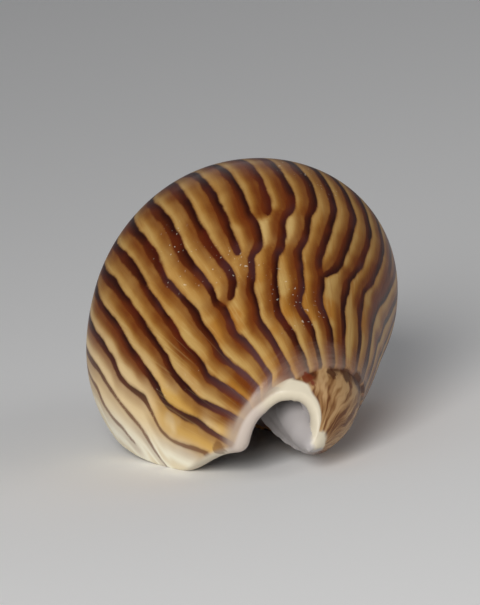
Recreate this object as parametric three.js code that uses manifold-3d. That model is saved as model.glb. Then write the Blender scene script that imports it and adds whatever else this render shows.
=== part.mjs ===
// A volute sea snail shell in three.js: millimetres, +Z up.
// It lies on its aperture. The spire points along +Y, the siphonal notch faces -Y and the outer lip is on the -X side.
// The shell is one grown piece: a thick-walled tube carried round its axis on a widening helix, so each whorl
// wraps the one before it. It is built as short closed runs of that tube, which are then joined into one solid.
import * as THREE from "three";
import { mergeVertices } from "three/addons/utils/BufferGeometryUtils.js";
import Module from "manifold-3d";

const wasm = await Module();
wasm.setup();

const { clamp, degToRad, lerp, smoothstep } = THREE.MathUtils;
const FULL_TURN = 2 * Math.PI;

// Half section of the last whorl, from the suture to the ridge of the fasciole: [radius, distance from the apex].
const SECTION = [
  [5.8, 8.6],
  [7.8, 9.7],
  [10.0, 11.9],
  [12.7, 15.8],
  [14.3, 20.4],
  [13.4, 25.6],
  [10.5, 32.2],
  [7.9, 38.0],
  [5.6, 42.6],
];
const RIDGE_AT = 0.86; // share of the growth line that lies between the suture and the fasciole's ridge
const TIP = new THREE.Vector3(-1.1, -41.5, 0.0); // front end of the columella, in the growing frame
const TIP_RADIUS = 0.6;
const FASCIOLE_BULGE = 1.0;
const OLD_FASCIOLE_BULGE = 0.45; // inside the aperture, where the next whorl has covered it
const BULGE_GROWS = [degToRad(-350), degToRad(-270)];
const RIDGE_STEP = 0.35; // how far the fasciole lies below the body whorl at its ridge

// Growth: how many times larger a whorl is than the one before it.
const RECENT_WIDENING = 1.4;
const EARLY_WIDENING = 1.9;
const WIDENING_CHANGES_AT = degToRad(-279);
const WIDENING_CHANGES_OVER = degToRad(22);
const LIP_ANGLE = degToRad(219.7); // where round the axis the outer lip stands
const FIRST_ANGLE = degToRad(-1150); // where the modelled whorls begin, behind the lip
const RUN_ANGLE = degToRad(300); // length of one run of the tube
const OVERLAP_BACK = degToRad(4); // each run starts inside the end of the run before
const OVERLAP_AHEAD = degToRad(1.5);
const TUCK = 0.04; // how far the start of a run lies under the surface of the run before

// Wall, aperture and siphonal notch.
const WALL = 1.5;
const LIP_WALL = 2.3;
const LIP_FLARE = 0.6;
const NOTCH_WALL = 1.3;
const RIM_REACH = 0.75;
const RIM_ROOM = 0.12; // the rim's reach as a share of its distance from the axis, at most
const HOLLOW_END = [degToRad(-255), degToRad(-228)]; // the hollow's end wall stands between these angles
const LIP_BACK = degToRad(3.5);
const LIP_LEAN = degToRad(34.5);
const NOTCH_LEFT_LEG = degToRad(45);
const NOTCH_ARCH = degToRad(60);
const FRONT_FADES_OVER = degToRad(250);
const AXIS_HOLE = 0.35;
const FLANK_FILLS_OVER = [degToRad(4), degToRad(45)]; // behind the notch the wall thickens to solid
const LEAST_CORE = 0.25; // share of the way to the axis that a wall leaves free
const GLAZE_REACH = 0.03; // the notch's edge is smoothed along the growth line by this share of it
const GLAZE_FADES_OVER = [degToRad(4), degToRad(30)];

// Columella: the pillar round the axis, with oblique plaits where it faces the aperture.
// Its outline is [radius, distance from the apex].
const PILLAR = [
  [0, 2.7],
  [0.4, 4],
  [0.8, 20],
  [1.3, 29],
  [1.8, 35],
  [1.5, 38],
  [0.95, 40.3],
  [0.65, 41.3],
  [0, 41.7],
];
const LEAN_STARTS = 26; // distance from the apex at which the pillar starts to lean off the axis
const CALLUS = 0.4; // thickness laid over the columella beside the notch
const PLAITS = [34.5, 39.5, 44.5, 49.5];
const PLAIT_HALF_WIDTH = 1.5;
const PLAIT_HEIGHT = 0.5;

// Protoconch: the blunt dome at the apex.
const DOME_RADIUS = 1.9;
const DOME_CENTRE = 2.7;

// How the shell lies: turned about its axis, then tipped nose down, then trimmed where it touches the ground.
const REST_ROLL = degToRad(6.5);
const REST_PITCH = degToRad(18.3);
const TOUCH_TRIM = 0.3;

const ROW_STEP = degToRad(10);
const EARLY_ROW_STEP = degToRad(20);
const RIM_STEPS = 3;
const STATIONS = [
  0, 0.05, 0.11, 0.17, 0.23, 0.29, 0.35, 0.41, 0.47, 0.53, 0.59, 0.65, 0.71,
  0.76, 0.795, 0.808, 0.818, 0.827, 0.835, 0.843, 0.851, 0.86, 0.867, 0.88,
  0.9, 0.92, 0.945, 0.97, 1,
];

const sectionCurve = new THREE.SplineCurve(
  SECTION.map(([radius, down]) => new THREE.Vector2(radius, down)),
);
sectionCurve.arcLengthDivisions = 400;

// Size of the whorl at an angle behind the lip, as a share of its size at the lip.
function growth(angle) {
  const recent = Math.log(RECENT_WIDENING) / FULL_TURN;
  const early = Math.log(EARLY_WIDENING) / FULL_TURN;
  const soft = (x) =>
    WIDENING_CHANGES_OVER *
    Math.log1p(Math.exp((x - WIDENING_CHANGES_AT) / WIDENING_CHANGES_OVER));
  return Math.exp(early * angle + (recent - early) * (soft(angle) - soft(0)));
}

// Point of the outer surface: u runs along the growth line, angle is counted from the lip.
function surface(u, angle) {
  const size = growth(angle);
  const round = LIP_ANGLE + angle;
  const outward = new THREE.Vector3(Math.cos(round), 0, Math.sin(round));
  const onSection = sectionCurve.getPointAt(clamp(u / RIDGE_AT, 0, 1));
  const point = outward.clone().multiplyScalar(size * onSection.x);
  point.y = -size * onSection.y;
  if (u <= RIDGE_AT) return point;
  // Beyond the ridge the growth lines of the last whorl all run to the one tip, over the fasciole's swell.
  const toTip = (u - RIDGE_AT) / (1 - RIDGE_AT);
  const tipSize = Math.min(1, size / growth(-FULL_TURN));
  const tip = TIP.clone().multiplyScalar(tipSize);
  tip.addScaledVector(outward, TIP_RADIUS * tipSize);
  point.lerp(tip, toTip);
  const bulge = lerp(
    OLD_FASCIOLE_BULGE,
    FASCIOLE_BULGE,
    smoothstep(angle, ...BULGE_GROWS),
  );
  const swell = bulge * size * Math.sin(Math.PI * toTip);
  const step = RIDGE_STEP * size * smoothstep(toTip, 0, 0.05) * (1 - toTip);
  return point.addScaledVector(outward, swell - step);
}

// Centre of the columella at a height: it leans off the axis towards its tip.
function pillarCentre(y) {
  const lean = smoothstep(-y, LEAN_STARTS, -TIP.y);
  return new THREE.Vector3(TIP.x * lean, y, TIP.z * lean);
}

function normalAt(u, angle) {
  const d = 2e-3;
  const side = u <= RIDGE_AT ? [0, RIDGE_AT] : [RIDGE_AT + d, 1];
  const alongLine = surface(clamp(u + d, ...side), angle).sub(
    surface(clamp(u - d, ...side), angle),
  );
  const alongGrowth = surface(u, angle + d).sub(surface(u, angle - d));
  return alongGrowth.cross(alongLine).normalize();
}

// Direction into the shell for the wall's thickness: from wide steps, so the ridge outside doesn't turn it.
function inwardAt(u, angle) {
  const d = 0.03;
  const alongLine = surface(Math.min(u + d, 1), angle).sub(
    surface(Math.max(u - d, 0), angle),
  );
  const alongGrowth = surface(u, angle + d).sub(surface(u, angle - d));
  return alongLine.cross(alongGrowth).normalize();
}

// The surface on a growth line, smoothed near the notch's edge, where glaze has rounded the ridge off.
function glazedSurface(u, start, fade) {
  const bare = surface(u, start + front(u) * fade);
  const glazed =
    smoothstep(u, 0.8, 0.84) *
    (1 - smoothstep(u, 0.92, 0.98)) *
    (1 - smoothstep(-start, ...GLAZE_FADES_OVER));
  if (glazed === 0) return bare;
  const mean = new THREE.Vector3();
  const samples = 9;
  for (let i = 0; i < samples; i += 1) {
    const beside = clamp(
      u + lerp(-GLAZE_REACH, GLAZE_REACH, i / (samples - 1)),
      0,
      1,
    );
    mean.addScaledVector(
      surface(beside, start + front(beside) * fade),
      1 / samples,
    );
  }
  return bare.lerp(mean, glazed);
}

// The growth front: how far behind the lip the shell's edge stands. It falls back into the siphonal notch.
function front(u) {
  return -(
    LIP_BACK +
    LIP_LEAN * smoothstep(u, 0.565, 0.87) +
    NOTCH_LEFT_LEG * smoothstep(u, 0.79, 0.845) +
    NOTCH_ARCH * smoothstep(u, 0.83, 1)
  );
}

function wall(u, angle) {
  const nearLip = smoothstep(angle, degToRad(-70), degToRad(-5));
  const nearNotch = smoothstep(u, 0.72, 0.84);
  return lerp(lerp(WALL, LIP_WALL, nearLip), NOTCH_WALL, nearNotch);
}

// Height added to the surface: the lip's outward flare, the columella's plaits, and the callus beside the notch.
function relief(u, angle, point) {
  const flare =
    LIP_FLARE *
    smoothstep(angle, degToRad(-50), degToRad(-8)) *
    (1 - smoothstep(u, 0.7, 0.85));
  const inAperture =
    smoothstep(angle, degToRad(-520), degToRad(-470)) *
    (1 - smoothstep(angle, degToRad(-300), degToRad(-260)));
  let plaits = 0;
  for (const line of PLAITS) {
    const off = (-point.y / growth(angle) - line) / PLAIT_HALF_WIDTH;
    if (Math.abs(off) < 1) plaits += (1 + Math.cos(Math.PI * off)) / 2;
  }
  const callus =
    CALLUS *
    smoothstep(-point.y, 30, 36) *
    (1 - smoothstep(-point.y, 36, -TIP.y)) *
    smoothstep(angle, degToRad(-540), degToRad(-480)) *
    (1 - smoothstep(angle, degToRad(-450), degToRad(-330)));
  return flare + callus + PLAIT_HEIGHT * plaits * inAperture;
}

// A section through the tube: the outer line, and the inner line that closes it.
function ring(start, { bulge = 0, tuck = 0, stations = STATIONS } = {}) {
  const fade = 1 - smoothstep(-start, 0, FRONT_FADES_OVER);
  const outer = [];
  const inner = [];
  const inward = [];
  for (const u of stations) {
    const angle = start + front(u) * fade;
    const bare = glazedSurface(u, start, fade);
    const height = relief(u, angle, bare) - tuck;
    const point = bare.clone().addScaledVector(normalAt(u, angle), height);
    const axis = pillarCentre(point.y);
    const around = LIP_ANGLE + angle;
    const core = new THREE.Vector3(Math.cos(around), 0, Math.sin(around))
      .multiplyScalar(AXIS_HOLE * growth(angle))
      .add(axis);
    const room = (1 - LEAST_CORE) * point.distanceTo(axis);
    const thick = Math.min(wall(u, angle) - 2 * tuck, room);
    // Older whorls are solid right to the axis, and so is the fasciole behind the notch.
    const behindNotch =
      smoothstep(u, 0.8, 0.87) * smoothstep(-start, ...FLANK_FILLS_OVER);
    const filled = Math.max(1 - smoothstep(angle, ...HOLLOW_END), behindNotch);
    const into = inwardAt(u, angle);
    outer.push(point);
    inner.push(point.clone().addScaledVector(into, thick).lerp(core, filled));
    inward.push(into);
  }
  if (bulge > 0) roundRim(outer, inner, inward, bulge);
  return [...outer, ...inner.reverse()];
}

// The lip's rounded rim: half an ellipse across the wall, standing forward of the edge.
function roundRim(outer, inner, inward, bulge) {
  const edge = outer.map((point) => point.clone());
  const last = edge.length - 1;
  edge.forEach((point, i) => {
    const along = edge[Math.min(i + 1, last)]
      .clone()
      .sub(edge[Math.max(i - 1, 0)]);
    const ahead = inward[i].clone().cross(along).normalize();
    const across = inner[i].clone().sub(point).multiplyScalar(0.5);
    const room = RIM_ROOM * point.distanceTo(pillarCentre(point.y));
    const reach = Math.min(across.length(), RIM_REACH, room);
    const middle = point
      .clone()
      .add(across)
      .addScaledVector(ahead, reach * Math.sin(bulge));
    outer[i] = middle.clone().addScaledVector(across, -Math.cos(bulge));
    inner[i] = middle.clone().addScaledVector(across, Math.cos(bulge));
  });
}

// A closed solid from a row of rings: walls between neighbours, and a strip across each end.
function solidFromRings(rings) {
  const count = rings[0].length;
  const half = count / 2;
  const faces = [];
  const points = rings.flat();
  const apart = (a, b) => points[a].distanceToSquared(points[b]);
  const quad = (a, b, c, d) => {
    if (apart(a, c) < apart(b, d)) faces.push(a, c, b, a, d, c);
    else faces.push(a, d, b, b, d, c);
  };
  for (let r = 0; r + 1 < rings.length; r += 1)
    for (let i = 0; i < count; i += 1) {
      const j = (i + 1) % count;
      const here = r * count;
      const next = here + count;
      quad(here + i, here + j, next + j, next + i);
    }
  const last = (rings.length - 1) * count;
  for (let i = 0; i + 1 < half; i += 1) {
    const [a, b, c, d] = [i, i + 1, count - 2 - i, count - 1 - i];
    quad(a, d, c, b);
    quad(last + a, last + b, last + c, last + d);
  }
  return closedSolid(points, faces);
}

function closedSolid(points, faces) {
  const position = new Float32Array(points.flatMap((p) => [p.x, p.y, p.z]));
  const geometry = new THREE.BufferGeometry();
  geometry.setAttribute("position", new THREE.BufferAttribute(position, 3));
  geometry.setIndex(faces);
  return solidFromGeometry(geometry);
}

function solidFromGeometry(geometry) {
  geometry.deleteAttribute("normal");
  geometry.deleteAttribute("uv");
  const merged = mergeVertices(geometry, 1e-4);
  const index = Array.from(merged.index.array);
  const kept = [];
  for (let i = 0; i < index.length; i += 3) {
    const [a, b, c] = index.slice(i, i + 3);
    if (a !== b && b !== c && c !== a) kept.push(a, b, c);
  }
  return new wasm.Manifold(
    new wasm.Mesh({
      numProp: 3,
      vertProperties: merged.attributes.position.array,
      triVerts: new Uint32Array(kept),
    }),
  );
}

function geometryFromSolid(solid) {
  const mesh = solid.getMesh();
  const geometry = new THREE.BufferGeometry();
  geometry.setAttribute(
    "position",
    new THREE.BufferAttribute(Float32Array.from(mesh.vertProperties), 3),
  );
  geometry.setIndex(Array.from(mesh.triVerts));
  return geometry;
}

// One run of the tube, between two angles behind the lip. The last run ends in the rounded rim.
function tubeRun(from, to) {
  const stations = runStations(from);
  const step = to < -FULL_TURN ? EARLY_ROW_STEP : ROW_STEP;
  const rows = Math.round((to - from) / step);
  const rings = [
    ring(from - OVERLAP_BACK, { tuck: TUCK, stations }),
    ring(from + OVERLAP_AHEAD, { stations }),
  ];
  for (let r = 1; r < rows; r += 1)
    rings.push(ring(lerp(from, to, r / rows), { stations }));
  if (to < -1e-6) rings.push(ring(to, { stations }));
  else
    for (let s = 0; s <= RIM_STEPS; s += 1)
      rings.push(ring(0, { bulge: ((Math.PI / 2) * s) / RIM_STEPS, stations }));
  return solidFromRings(rings);
}

// Extra stations where the plaits are seen through the aperture.
function runStations(from) {
  if (from < -2 * FULL_TURN || from > -FULL_TURN) return STATIONS;
  const fine = [];
  for (let u = 0.66; u < 0.955; u += 0.013) fine.push(u);
  return [...STATIONS.filter((u) => u < 0.655), ...fine, 0.98, 1];
}

// The pillar that closes the tube's axis, from the apex to the rounded tip of the columella.
function pillar() {
  const outline = new THREE.SplineCurve(
    PILLAR.map(([radius, down]) => new THREE.Vector2(radius, -down)).reverse(),
  ).getPoints(4 * (PILLAR.length - 1));
  for (const point of outline) point.x = Math.max(point.x, 0);
  const geometry = new THREE.LatheGeometry(outline, 16);
  const position = geometry.attributes.position;
  for (let i = 0; i < position.count; i += 1) {
    const centre = pillarCentre(position.getY(i));
    position.setX(i, position.getX(i) + centre.x);
    position.setZ(i, position.getZ(i) + centre.z);
  }
  return solidFromGeometry(geometry);
}

function protoconch() {
  const geometry = new THREE.SphereGeometry(DOME_RADIUS, 16, 10);
  geometry.translate(0, -DOME_CENTRE, 0);
  return solidFromGeometry(geometry);
}

function wholeShell() {
  let shell = pillar().add(protoconch());
  for (let from = FIRST_ANGLE; from < -1e-6; from += RUN_ANGLE)
    shell = shell.add(tubeRun(from, Math.min(from + RUN_ANGLE, 0)));
  return shell;
}

// Lays the shell on the ground plane z = 0, with the middle of its box over the origin, and trims where it touches.
function layDown(solid) {
  const geometry = geometryFromSolid(solid);
  geometry.rotateY(REST_ROLL);
  geometry.rotateX(REST_PITCH);
  geometry.computeBoundingBox();
  const centre = geometry.boundingBox.getCenter(new THREE.Vector3());
  const lowest = geometry.boundingBox.min.z;
  geometry.translate(-centre.x, -centre.y, -lowest - TOUCH_TRIM);
  const below = new THREE.BoxGeometry(100, 100, 10).translate(0, 0, -5);
  return solidFromGeometry(geometry).subtract(solidFromGeometry(below));
}

const shellGeometry = geometryFromSolid(layDown(wholeShell())).toNonIndexed();
shellGeometry.computeVertexNormals();
const porcelain = new THREE.MeshStandardMaterial({
  color: 0xc08a4a,
  roughness: 0.25,
  metalness: 0,
});
const shell = new THREE.Mesh(shellGeometry, porcelain);
shell.name = "volute_shell";

const group = new THREE.Group();
group.add(shell);
export default group;
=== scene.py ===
# %% [markdown]
# # A volute sea snail shell
# The photograph shows one shell from its front end: a big striped last whorl, a thick pale lip, a wide
# notch for the siphon and, beside it, the blotched band that older notches have left, the fasciole. A
# shell could be sculpted by hand or lathed and twisted. Here it is grown, as the snail does it: one
# section is carried round the axis while it widens at a steady rate, so the spire, the sutures and the
# notch's old traces all come out of one rule. All lengths are in millimetres until the shell is laid down,
# and angles are counted back from the lip.

import bpy
import numpy as np
from mathutils import Matrix, Vector


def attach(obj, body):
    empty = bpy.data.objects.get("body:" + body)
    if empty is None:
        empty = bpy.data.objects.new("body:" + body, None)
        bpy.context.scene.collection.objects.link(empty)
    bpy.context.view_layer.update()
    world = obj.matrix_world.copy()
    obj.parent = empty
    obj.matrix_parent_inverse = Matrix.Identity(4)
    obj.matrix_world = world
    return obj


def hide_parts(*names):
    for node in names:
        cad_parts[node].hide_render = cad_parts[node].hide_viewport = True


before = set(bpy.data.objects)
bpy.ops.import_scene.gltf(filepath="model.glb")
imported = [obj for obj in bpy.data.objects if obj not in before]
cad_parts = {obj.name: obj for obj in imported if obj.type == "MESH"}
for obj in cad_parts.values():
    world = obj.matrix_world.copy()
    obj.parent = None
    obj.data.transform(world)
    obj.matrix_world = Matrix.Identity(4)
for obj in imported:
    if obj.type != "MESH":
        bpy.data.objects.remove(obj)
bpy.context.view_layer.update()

# %% [markdown]
# ## The section and its growth
# The half section runs from the suture, over the shoulder and down to the ridge of the fasciole. It could
# be a curve object drawn by hand. Here a few points and a smooth curve through them hold the shape of a
# volute, so it can be read and changed in one place. The whorl's size falls off exponentially with the
# angle behind the lip: over the last three quarters of a turn it widens at a rate of 1.4 times a turn, and
# before that faster.

# %% Section and growth
SECTION = np.array([
    (5.8, 8.6), (7.8, 9.7), (10.0, 11.9), (12.7, 15.8), (14.3, 20.4),
    (13.4, 25.6), (10.5, 32.2), (7.9, 38.0), (5.6, 42.6),
])
TURN = 2 * np.pi
RECENT_WIDENING = 1.4  # times in one turn, as the next
EARLY_WIDENING = 1.9
WIDENING_CHANGES_AT = np.radians(-279)
WIDENING_CHANGES_OVER = np.radians(22)
CURVE_POINTS = 4001


def rise(x, start, end):
    """Smooth step: 3 s^2 - 2 s^3, where s is how far x has gone from start to end, held to 0..1."""
    s = np.clip((np.asarray(x, float) - start) / (end - start), 0, 1)
    return s * s * (3 - 2 * s)


def mix(a, b, share):
    """a where share is 0, b where it is 1."""
    return a + (b - a) * share


def smooth_curve(points, count):
    """Catmull-Rom curve: each span is the cubic whose end slopes are half the step between the neighbours."""
    last = len(points) - 1
    x = np.linspace(0, last, count)
    span = np.minimum(x.astype(int), last - 1)
    s = (x - span)[:, None]
    before = points[np.clip(span - 1, 0, last)]
    here = points[span]
    ahead = points[span + 1]
    beyond = points[np.clip(span + 2, 0, last)]
    slope_here = (ahead - before) / 2
    slope_ahead = (beyond - here) / 2
    return (
        (2 * here - 2 * ahead + slope_here + slope_ahead) * s**3
        + (-3 * here + 3 * ahead - 2 * slope_here - slope_ahead) * s**2
        + slope_here * s
        + here
    )


section_line = smooth_curve(SECTION, CURVE_POINTS)
section_run = np.r_[0, np.cumsum(np.hypot(*np.diff(section_line, axis=0).T))]
section_run /= section_run[-1]


def growth(angle):
    """Size of the whorl at an angle behind the lip: exp of the angle times the log of the widening per turn,
    with a soft change between the early and the recent widening."""
    recent = np.log(RECENT_WIDENING) / TURN
    early = np.log(EARLY_WIDENING) / TURN

    def soft(x):
        reach = (x - WIDENING_CHANGES_AT) / WIDENING_CHANGES_OVER
        return WIDENING_CHANGES_OVER * np.logaddexp(0, reach)

    return np.exp(early * angle + (recent - early) * (soft(angle) - soft(0.0)))


print("size one and two turns behind the lip", growth(np.array([-TURN, -2 * TURN])).round(3))

# %% [markdown]
# ## The outer surface
# The whole outside is one skin wound round the axis. Blender's Screw modifier turns a section while it
# climbs, but it can't let it widen, so the skin is a function here. A point is named by u, its share of
# the way along a growth line, and by the angle behind the lip. Past the ridge every growth line of the
# last whorl runs on to one tip, which makes the fasciole.

# %% Outer surface
LIP_ANGLE = np.radians(219.7)  # where round the axis the lip stands
RIDGE_AT = 0.86  # share of a growth line between the suture and the ridge
TIP = np.array([-1.1, -41.5, 0.0])  # front end of the columella
TIP_RADIUS = 0.6
LEAN_STARTS = 26.0  # millimetres from the apex
FASCIOLE_BULGE = 1.0
OLD_BULGE = 0.45  # inside the aperture, where the next whorl has covered it
BULGE_GROWS = np.radians([-350, -270])
RIDGE_STEP = 0.35
RIDGE_STEP_OVER = 0.05  # share of the way from the ridge to the tip
NEAR_STEP = 2e-3  # in u and in radians, to measure a slope over
WIDE_STEP = 0.03


def outward(angle):
    """Unit direction away from the axis at a growth angle."""
    around = LIP_ANGLE + np.asarray(angle, float)
    return np.stack([np.cos(around), 0 * around, np.sin(around)], -1)


def pillar_centre(y):
    """Centre of the columella: on the axis near the apex, leaning smoothly to the tip's place."""
    lean = rise(-np.asarray(y, float), LEAN_STARTS, -TIP[1])
    return np.stack([TIP[0] * lean, y, TIP[2] * lean], -1)


def bare_surface(u, angle):
    """The section's radius and height at u, times the growth, turned to the angle. Beyond the ridge: a
    straight line to the tip, raised by a half sine for the fasciole's swell and dropped by a step at the
    ridge."""
    u, angle = np.broadcast_arrays(np.asarray(u, float), np.asarray(angle, float))
    size = growth(angle)
    away = outward(angle)
    share = np.clip(u / RIDGE_AT, 0, 1)
    radius = np.interp(share, section_run, section_line[:, 0])
    down = np.interp(share, section_run, section_line[:, 1])
    point = away * (size * radius)[..., None]
    point[..., 1] = -size * down
    to_tip = np.clip((u - RIDGE_AT) / (1 - RIDGE_AT), 0, 1)
    tip_size = np.minimum(1, size / growth(-TURN))[..., None]
    tip = TIP * tip_size + away * TIP_RADIUS * tip_size
    swell = mix(OLD_BULGE, FASCIOLE_BULGE, rise(angle, *BULGE_GROWS)) * size * np.sin(np.pi * to_tip)
    step = RIDGE_STEP * size * rise(to_tip, 0, RIDGE_STEP_OVER) * (1 - to_tip)
    fasciole = point + (tip - point) * to_tip[..., None] + away * (swell - step)[..., None]
    return np.where((u > RIDGE_AT)[..., None], fasciole, point)


def normal_of(u, angle):
    """Unit normal: the cross product of the steps along the growth and along the growth line."""
    step = NEAR_STEP
    past_ridge = u > RIDGE_AT
    low = np.where(past_ridge, RIDGE_AT + step, 0.0)
    high = np.where(past_ridge, 1.0, RIDGE_AT)
    before, after = np.maximum(u - step, low), np.minimum(u + step, high)
    along_line = bare_surface(after, angle) - bare_surface(before, angle)
    along_growth = bare_surface(u, angle + step) - bare_surface(u, angle - step)
    across = np.cross(along_growth, along_line)
    return across / np.linalg.norm(across, axis=-1, keepdims=True)


def inward_of(u, angle):
    """Unit direction into the shell for the wall's thickness: the normal of wide steps, so that the ridge,
    which is only on the outside, doesn't turn it."""
    step = WIDE_STEP
    along_line = bare_surface(np.minimum(u + step, 1), angle) - bare_surface(np.maximum(u - step, 0), angle)
    along_growth = bare_surface(u, angle + step) - bare_surface(u, angle - step)
    across = np.cross(along_growth, along_line)
    return -across / np.linalg.norm(across, axis=-1, keepdims=True)


widest = np.linalg.norm(bare_surface(np.linspace(0, RIDGE_AT, 200), 0.0)[:, [0, 2]], axis=-1).max()
print("the last whorl reaches", widest.round(2), "mm from the axis at the lip")

# %% [markdown]
# ## The lip, the notch and the raised parts
# The shell's edge isn't a straight growth line: it leans back along the outer lip, falls back steeply into
# the siphonal notch and runs down the columella's side to the tip. The lip flares outward as it thickens.
# Inside the aperture the columella carries four oblique plaits and a smooth callus. The notch could be cut
# out with a Boolean and the plaits sculpted. Here the edge and the heights are smooth steps in u and the
# angle, so the wall keeps its thickness round the notch and each plait follows the growth.

# %% Growth front and relief
WALL = 1.5
LIP_WALL = 2.3
NOTCH_WALL = 1.3
LIP_THICKENS_OVER = np.radians([-70, -5])
NOTCH_THINS_OVER = (0.72, 0.84)  # places in u, as all the pairs below that aren't angles
LIP_BACK = np.radians(3.5)
LIP_LEAN = np.radians(34.5)
LIP_LEANS_OVER = (0.565, 0.87)
NOTCH_LEFT_LEG = np.radians(45)
LEFT_LEG_OVER = (0.79, 0.845)
NOTCH_ARCH = np.radians(60)
ARCH_OVER = (0.83, 1.0)
LIP_FLARE = 0.6
FLARE_GROWS = np.radians([-50, -8])
FLARE_ENDS = (0.7, 0.85)
PLAITS = (34.5, 39.5, 44.5, 49.5)  # millimetres from the apex on a whorl of full size
PLAIT_HALF_WIDTH = 1.5
PLAIT_HEIGHT = 0.5
PLAITS_START = np.radians([-520, -470])
PLAITS_END = np.radians([-300, -260])
CALLUS = 0.4
CALLUS_DOWN = (30, 36)  # millimetres from the apex
CALLUS_STARTS = np.radians([-540, -480])
CALLUS_ENDS = np.radians([-450, -330])


def growth_front(u):
    """How far behind the lip the edge stands: the lip's lean, the notch's left leg and its arch, one smooth
    step each."""
    return -(
        LIP_BACK
        + LIP_LEAN * rise(u, *LIP_LEANS_OVER)
        + NOTCH_LEFT_LEG * rise(u, *LEFT_LEG_OVER)
        + NOTCH_ARCH * rise(u, *ARCH_OVER)
    )


def wall(u, angle):
    """Thickness: thicker towards the lip, thinner towards the notch."""
    near_lip = rise(angle, *LIP_THICKENS_OVER)
    return mix(mix(WALL, LIP_WALL, near_lip), NOTCH_WALL, rise(u, *NOTCH_THINS_OVER))


def relief(u, angle, point):
    """Height over the bare surface: the lip's flare, a raised cosine for each plait, and the callus."""
    down = -point[..., 1]
    flare = LIP_FLARE * rise(angle, *FLARE_GROWS) * (1 - rise(u, *FLARE_ENDS))
    in_aperture = rise(angle, *PLAITS_START) * (1 - rise(angle, *PLAITS_END))
    off = (down / growth(angle))[..., None] - np.array(PLAITS)
    plaits = ((1 + np.cos(np.pi * np.clip(off / PLAIT_HALF_WIDTH, -1, 1))) / 2).sum(-1)
    callus_band = rise(down, *CALLUS_DOWN) * (1 - rise(down, CALLUS_DOWN[1], -TIP[1]))
    callus = CALLUS * callus_band * rise(angle, *CALLUS_STARTS) * (1 - rise(angle, *CALLUS_ENDS))
    return flare + callus + PLAIT_HEIGHT * plaits * in_aperture


notch_places = np.array([0.8, 0.86, 1.0])
print("edge of the notch stands", np.degrees(-growth_front(notch_places)).round(1), "degrees back")

# %% [markdown]
# ## Runs of the tube
# The shell is a tube that thickens and widens. One mesh of the whole tube would pass through itself where
# a whorl wraps the one before, so it is made as closed runs of less than one turn, and a union makes one
# skin of them. Each run is a stack of rings. Where the tube is open a ring has an outer and an inner line,
# and in the old whorls it closes on the axis. A Solidify modifier could give the wall its thickness, but
# not a thickness that changes to solid behind the notch, so the inner line is worked out too.

# %% Rings
FRONT_FADES_OVER = np.radians(250)  # further back the rings are straight growth lines
AXIS_HOLE = 0.35  # distance of the inner line from the axis, where the whorl is solid
HOLLOW_END = np.radians([-255, -228])  # the hollow closes over this
THICKEST = 0.75  # of the way to the axis
FLANK_FROM = (0.80, 0.87)  # in u, behind the notch's right leg
FLANK_FILLS_OVER = np.radians([4, 45])
GLAZE_REACH = 0.03  # in u, to either side
GLAZE_SAMPLES = 9
GLAZE_FROM = (0.80, 0.84)
GLAZE_TO = (0.92, 0.98)
GLAZE_FADES_OVER = np.radians([4, 30])
TUCK = 0.02  # how far the start of a run lies under the run before


def ring_lines(starts, u, tuck):
    """Outer and inner line of each ring. Outer: the surface with its relief, by the notch's edge first
    averaged over a short way along the growth line, as glaze has rounded it. Inner: one wall's thickness
    below, blended to a line beside the axis in the old whorls and behind the notch's right leg."""
    fade = 1 - rise(-starts, 0, FRONT_FADES_OVER)
    angle = starts[:, None] + growth_front(u)[None, :] * fade[:, None]
    line = np.broadcast_to(u, angle.shape)
    bare = bare_surface(line, angle)
    near = np.linspace(-GLAZE_REACH, GLAZE_REACH, GLAZE_SAMPLES)[:, None, None]
    beside = np.clip(u + near, 0, 1)
    spread = bare_surface(beside, starts[:, None] + growth_front(beside) * fade[:, None]).mean(0)
    glazed = rise(line, *GLAZE_FROM) * (1 - rise(line, *GLAZE_TO))
    glazed = glazed * (1 - rise(-starts, *GLAZE_FADES_OVER))[:, None]
    bare = mix(bare, spread, glazed[..., None])
    normal = normal_of(line, angle)
    outer = bare + normal * (relief(line, angle, bare) - tuck[:, None])[..., None]
    centre = pillar_centre(outer[..., 1])
    core = centre + outward(angle) * (AXIS_HOLE * growth(angle))[..., None]
    from_axis = np.linalg.norm(outer - centre, axis=-1)
    thick = np.minimum(wall(line, angle) - 2 * tuck[:, None], THICKEST * from_axis)
    behind_flank = rise(line, *FLANK_FROM) * rise(-starts, *FLANK_FILLS_OVER)[:, None]
    filled = np.maximum(1 - rise(angle, *HOLLOW_END), behind_flank)[..., None]
    inward = inward_of(line, angle)
    inner = mix(outer + inward * thick[..., None], core, filled)
    return angle, outer, inner, inward, from_axis


print("wall in mm at the lip", wall(0.5, 0.0).round(2), "and half a turn back", wall(0.5, -np.pi).round(2))
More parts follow.
